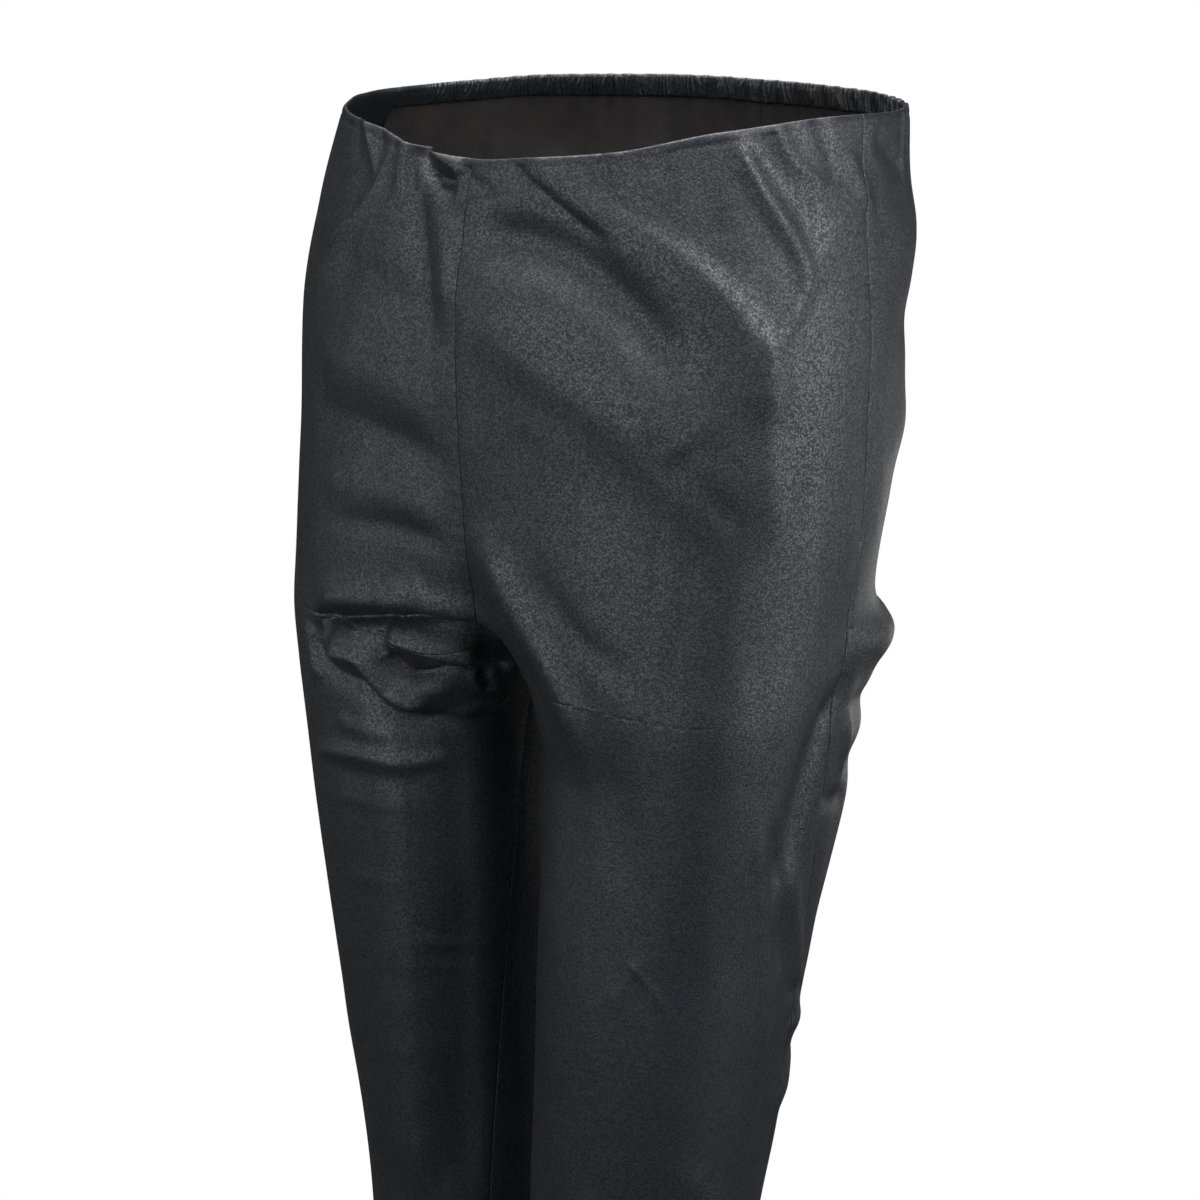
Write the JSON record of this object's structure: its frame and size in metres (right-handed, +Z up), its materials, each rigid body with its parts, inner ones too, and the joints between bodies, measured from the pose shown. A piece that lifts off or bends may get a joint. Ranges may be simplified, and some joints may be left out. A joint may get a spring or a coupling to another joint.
{
  "type": "leather trousers",
  "caption": "Pull-on black leather trousers, worn and hollow: slim straight legs, a plain front with a centre seam, and a gathered elastic back waist.",
  "frame": {"origin": "the middle of the waist opening, at the height of the side seams' upper ends, where the wearer holds the trousers up", "axes": "+Z up along the wearer, -Y the way the wearer faces, +X to the wearer's left"},
  "size_m": [0.3422, 0.2613, 0.9646],
  "materials": {
    "leather": "semi-matte, fine pebble grain, soft highlights",
    "facing": "smooth, semi-matte",
    "casing": "smooth, gathered into fine ribs, slightly glossy"
  },
  "bodies": {
    "root": {"front_left": "leather", "front_right": "leather", "back_left": "leather", "back_right": "leather", "front_facing_left": "facing", "front_facing_right": "facing", "back_casing_left": "casing", "back_casing_right": "casing"}
  },
  "joints": []
}
